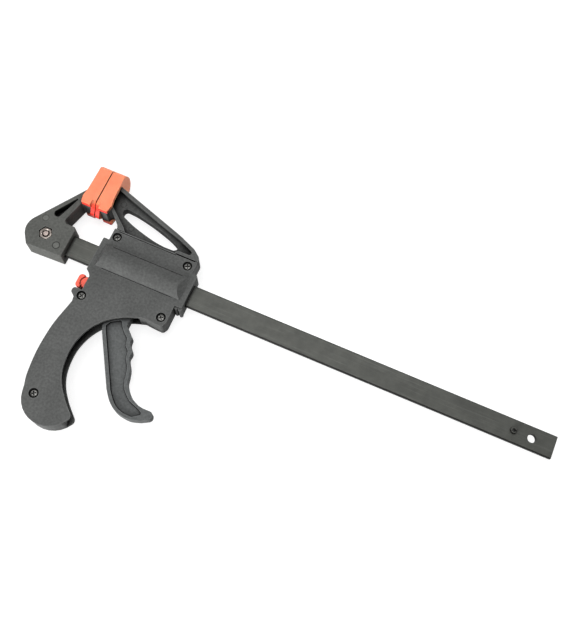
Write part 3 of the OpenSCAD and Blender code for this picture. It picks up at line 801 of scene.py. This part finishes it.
# %% One screw
HEAD_Z = HALF_BODY - 0.9
TIP_Z, SHANK_R = -7.4, 1.48
screw = turned("screw", [(0, TIP_Z), (1.0, TIP_Z), (SHANK_R, TIP_Z + 1), (SHANK_R, HEAD_Z - 1.8),
                         (2.9, HEAD_Z - 1.8), (3.0, HEAD_Z - 1.6), (2.92, HEAD_Z - 0.7),
                         (2.5, HEAD_Z - 0.22), (1.6, HEAD_Z - 0.02), (0, HEAD_Z)], 40)
DEEP_END = HEAD_Z - 2.0, 1.1, 0.4
OPEN_END = HEAD_Z + 0.4, 2.3, 0.6
for turn in (0, 90):
    recess = bmesh.new()
    wing = []
    for z, half, thick in (DEEP_END, OPEN_END):
        for x, y in ((-half, -thick), (half, -thick), (half, thick), (-half, thick)):
            p = Vector((x, y, z)) / 1000
            p.rotate(Euler((0, 0, math.radians(turn))))
            wing.append(recess.verts.new(p))
    recess.faces.new(wing[3::-1])
    recess.faces.new(wing[4:])
    for k in range(4):
        recess.faces.new((wing[k], wing[(k + 1) % 4], wing[4 + (k + 1) % 4], wing[4 + k]))
    recess.normal_update()
    screw = combine(screw, as_object(recess, "cross_recess"), "DIFFERENCE")
for face in screw.data.polygons:
    face.use_smooth = True
screw.data.set_sharp_from_angle(angle=math.radians(TURNED_SHARP_DEGREES))
print("one screw has", len(screw.data.polygons), "faces")

# %% [markdown]
# A tree of Geometry Nodes is a small machine: sizes go in and a mesh comes out. It suits
# what repeats or follows a path. One helper starts a tree with its named inputs. The other
# runs it on an object, keeps the result as a plain mesh and takes the modifier off.

# %% Geometry Nodes: helpers
def new_tree(name, sockets):
    tree = bpy.data.node_groups.new(name, "GeometryNodeTree")
    tree.interface.new_socket("Geometry", in_out="OUTPUT", socket_type="NodeSocketGeometry")
    tree.interface.new_socket("Geometry", in_out="INPUT", socket_type="NodeSocketGeometry")
    for label, kind, value in sockets:
        item = tree.interface.new_socket(label, in_out="INPUT", socket_type=kind)
        if value is not None:
            item.default_value = value
    return tree, add(tree, "NodeGroupInput"), add(tree, "NodeGroupOutput")


def made_by(tree, base, values):
    step = base.modifiers.new("made", "NODES")
    step.node_group = tree
    for item in tree.interface.items_tree:
        if item.in_out == "INPUT" and item.name in values:
            step[item.identifier] = values[item.name]
    view = bpy.context.evaluated_depsgraph_get()
    mesh = bpy.data.meshes.new_from_object(base.evaluated_get(view))
    base.modifiers.clear()
    base.data = mesh
    return base


print("trees before the first one:", len(bpy.data.node_groups))

# %% [markdown]
# Five copies of the screw could be placed by hand, but then each has to be changed alone.
# Geometry Nodes put one screw on each of five points, and turn each by its own random angle
# with a fixed seed, as a hand would leave them. The copies are made real before the result
# becomes a plain mesh.

# %% Geometry Nodes: screws on points
MOST_TURN, TURN_SEED = 3.1, 4
tree, given, result = new_tree("screws_on_points", [
    ("Screw", "NodeSocketObject", None), ("Turn", "NodeSocketFloat", MOST_TURN),
    ("Seed", "NodeSocketInt", TURN_SEED), ("Finish", "NodeSocketMaterial", None)])
source = add(tree, "GeometryNodeObjectInfo", Object=given.outputs["Screw"])
angle = add(tree, "FunctionNodeRandomValue", {"data_type": "FLOAT", 3: given.outputs["Turn"]},
            Seed=given.outputs["Seed"])
spin = add(tree, "ShaderNodeCombineXYZ", Z=angle.outputs[1])
placed = add(tree, "GeometryNodeInstanceOnPoints", Points=given.outputs["Geometry"],
             Instance=source.outputs["Geometry"], Rotation=spin.outputs["Vector"])
real = add(tree, "GeometryNodeRealizeInstances", Geometry=placed.outputs["Instances"])
dressed = add(tree, "GeometryNodeSetMaterial", Geometry=real.outputs["Geometry"],
              Material=given.outputs["Finish"])
tree.links.new(dressed.outputs["Geometry"], result.inputs["Geometry"])

points = bpy.data.meshes.new("cover_screw_set")
points.from_pydata([at(x, y) for x, y in SCREWS], [], [])
screws = bpy.data.objects.new("cover_screw_set", points)
bpy.context.scene.collection.objects.link(screws)
screws = made_by(tree, screws, {"Screw": screw, "Turn": MOST_TURN, "Seed": TURN_SEED,
                                "Finish": SCREW_STEEL})
bpy.data.objects.remove(screw)
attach(screws, "head")
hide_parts("cover_screws")
print("screws:", len(screws.data.polygons), "faces")

# %% [markdown]
# The two coil springs are round wire wound around the bar. A spiral curve with a circle
# swept along it is the whole recipe, so Geometry Nodes make both from four sizes. Each
# stands against a wall at its tail end.

# %% Geometry Nodes: coil springs
WIRE_R_M = 0.00065
tree, given, result = new_tree("coil_spring", [
    ("Radius", "NodeSocketFloat", 0.011), ("Wire", "NodeSocketFloat", WIRE_R_M),
    ("Length", "NodeSocketFloat", 0.02), ("Turns", "NodeSocketFloat", 6.0),
    ("Finish", "NodeSocketMaterial", None)])
spiral = add(tree, "GeometryNodeCurveSpiral", {"Resolution": 40},
             Rotations=given.outputs["Turns"], Start_Radius=given.outputs["Radius"],
             End_Radius=given.outputs["Radius"], Height=given.outputs["Length"])
wire = add(tree, "GeometryNodeCurvePrimitiveCircle", {"Resolution": 12},
           Radius=given.outputs["Wire"])
swept = add(tree, "GeometryNodeCurveToMesh", {"Fill Caps": True}, Curve=spiral.outputs["Curve"])
tree.links.new(wire.outputs["Curve"], swept.inputs["Profile Curve"])
smooth = add(tree, "GeometryNodeSetShadeSmooth", Geometry=swept.outputs["Mesh"])
real = add(tree, "GeometryNodeRealizeInstances", Geometry=smooth.outputs["Geometry"])
dressed = add(tree, "GeometryNodeSetMaterial", Geometry=real.outputs["Geometry"],
              Material=given.outputs["Finish"])
tree.links.new(dressed.outputs["Geometry"], result.inputs["Geometry"])


def wound(name, node, turns):
    low, high = (Vector(corner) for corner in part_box(node))
    radius = (high.y - low.y) / 2 - WIRE_R_M
    base = bpy.data.objects.new(name, bpy.data.meshes.new(name))
    bpy.context.scene.collection.objects.link(base)
    coil = made_by(tree, base, {"Radius": radius, "Wire": WIRE_R_M, "Turns": turns,
                                "Length": high.x - low.x - 2 * WIRE_R_M, "Finish": PLATE_STEEL})
    for v in coil.data.vertices:
        x, y, z = v.co
        v.co = Vector((low.x + WIRE_R_M + z, (low.y + high.y) / 2 + y, ORIGIN.z - x))
    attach(coil, "head")
    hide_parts(node)
    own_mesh(coil)
    print(name, "has", len(coil.data.polygons), "faces")


wound("drive_coil", "drive_spring", 7.0)
wound("brake_coil", "brake_spring", 5.0)

# %% [markdown]
# The plates, the washers and the trigger's pin are plain ground steel and already have
# their true shape, so they keep their solids and only get the steel's finish.

# %% Plates and pin
for node in ("drive_plate_front", "drive_plate_rear", "spring_washer", "brake_plate",
             "trigger_pin", "jaw_washer"):
    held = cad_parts[node]
    for slot in held.material_slots:
        slot.material = PLATE_STEEL
    print(node, "is", PLATE_STEEL.name)

# %% [markdown]
# The clamp lies in a white studio cove: a floor whose far edge curves up into a low wall, so
# that no horizon shows from any side. Its paint takes the clamp's shadow. Part of its white
# is a glow that only camera, mirror and see-through rays meet, so it lights nothing.

# %% Cove and sky
FLOOR_MM, BEND_MM, WALL_TOP_MM = 4000, 1500, 2600
GLOW = 0.8
SKY = 0.05

mat, tree, shader, coords = new_material("white_cove_paint")
shader.inputs["Base Color"].default_value = colour("969696")
shader.inputs["Roughness"].default_value = 0.9
path = add(tree, "ShaderNodeLightPath")
seen = add(tree, "ShaderNodeMath", {"operation": "MAXIMUM", 0: path.outputs["Is Camera Ray"],
                                    1: path.outputs["Is Glossy Ray"]})
seen_too = add(tree, "ShaderNodeMath", {"operation": "MAXIMUM", 0: seen.outputs[0],
                                        1: path.outputs["Is Transmission Ray"]})
glow = add(tree, "ShaderNodeMath", {"operation": "MULTIPLY", 0: seen_too.outputs[0], 1: GLOW})
shader.inputs["Emission Color"].default_value = (1, 1, 1, 1)
tree.links.new(glow.outputs[0], shader.inputs["Emission Strength"])

bend = [math.radians(15 * k) for k in range(7)]
profile = [(FLOOR_MM + BEND_MM * math.sin(t), BEND_MM * (1 - math.cos(t))) for t in bend]
cove = turned("cove", [(0, 0)] + profile + [(FLOOR_MM + BEND_MM, WALL_TOP_MM)], 72)
for face in cove.data.polygons:
    face.use_smooth = True
cove.data.materials.append(mat)

world = bpy.data.worlds.new("studio")
bpy.context.scene.world = world
world.use_nodes = True
sky = world.node_tree.nodes["Background"]
sky.inputs["Color"].default_value = (1, 1, 1, 1)
sky.inputs["Strength"].default_value = SKY
print("cove of", 2 * (FLOOR_MM + BEND_MM) / 1000, "m across, sky at", SKY)

# %% [markdown]
# Four soft boxes light it: a broad one above, a low one beyond the handle, which shines on
# the undersides, a weak one at the jaw's end, and a low one behind the caps, which reaches
# their domed side. None stands at the bar's tail, so the walls that face the tail stay dark.
# Their places and sizes are in metres, because they belong to the room.

# %% Soft boxes
def soft_box(name, place, aim, size, watts):
    data = bpy.data.lights.new(name, "AREA")
    data.shape = "RECTANGLE"
    data.size, data.size_y = size
    data.energy = watts
    lamp = bpy.data.objects.new(name, data)
    bpy.context.scene.collection.objects.link(lamp)
    lamp.location = place
    lamp.rotation_euler = (Vector(aim) - Vector(place)).to_track_quat("-Z", "Y").to_euler()
    print(name, watts, "W")


soft_box("box_above", (-0.2, 0.05, 1.15), (0.2, 0, 0), (0.95, 0.8), 11.1)
soft_box("box_front", (-0.5, -1.1, 0.35), (-0.1, 0, 0), (0.9, 0.4), 23)
soft_box("box_jaw", (-1.1, 0.2, 0.7), (0, 0, 0), (0.8, 0.6), 2)
soft_box("box_back", (0.4, 1.1, 0.3), (-0.15, 0.1, 0), (0.6, 0.3), 7)

# %% [markdown]
# The camera looks down on the clamp from beyond its handle and a little to the tail's side,
# from 0.7 m above the bar. Its focal length is about one and a half picture widths.

# %% Camera
SENSOR_MM = 36
PICTURE_WIDTH_PX = 570
FOCAL_PX = 861.388
STANDPOINT = (267.971, -206.568, 700.012)
TURNED_BY = (0.32556056, -0.02485463, 0.40526683)

optics = bpy.data.cameras.new("camera")
optics.sensor_fit = "HORIZONTAL"
optics.sensor_width = SENSOR_MM
optics.lens = FOCAL_PX / PICTURE_WIDTH_PX * SENSOR_MM
camera = bpy.data.objects.new("camera", optics)
bpy.context.scene.collection.objects.link(camera)
camera.location = at(*STANDPOINT)
camera.rotation_euler = Euler(TURNED_BY, "XYZ")
bpy.context.scene.camera = camera
bpy.context.scene.view_settings.view_transform = "Standard"
print("camera at", [round(c, 3) for c in camera.location])
